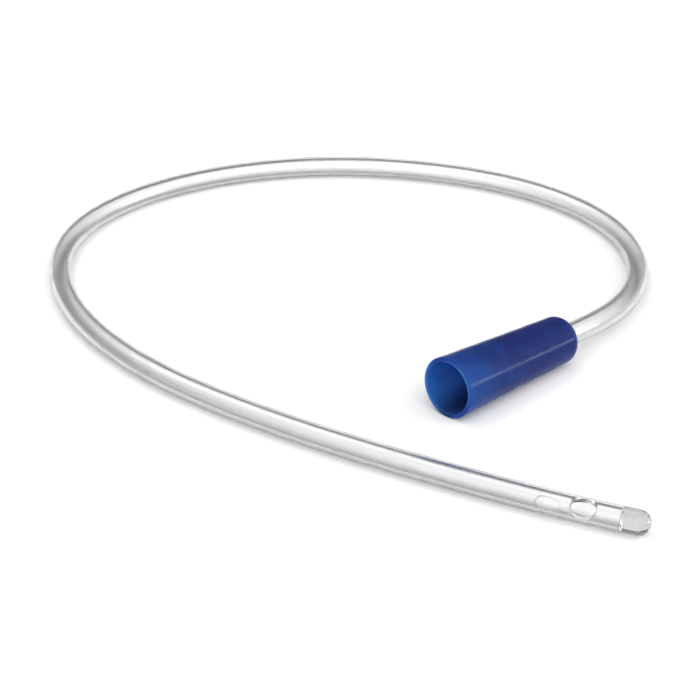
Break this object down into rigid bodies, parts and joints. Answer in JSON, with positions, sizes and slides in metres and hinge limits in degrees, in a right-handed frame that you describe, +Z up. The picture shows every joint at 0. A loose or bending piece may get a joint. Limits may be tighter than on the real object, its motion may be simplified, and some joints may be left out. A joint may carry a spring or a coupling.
{
  "type": "nelaton catheter",
  "caption": "Clear flexible bladder catheter tube with a closed rounded tip, side eyes and a blue funnel connector, lying in an open loop.",
  "frame": {"origin": "on the surface that it lies on, under the middle of the funnel connector", "axes": "+X along the funnel from its mouth to its back, where the tube leaves, seen from above; +Z up from the surface; the tube's loop lies on the +Y side"},
  "size_m": [0.1265, 0.1756, 0.0122],
  "materials": {
    "clear_tube": "gloss",
    "blue_funnel": "satin"
  },
  "bodies": {
    "root": {"catheter_tube": "clear_tube", "funnel_connector": "blue_funnel"}
  },
  "joints": []
}
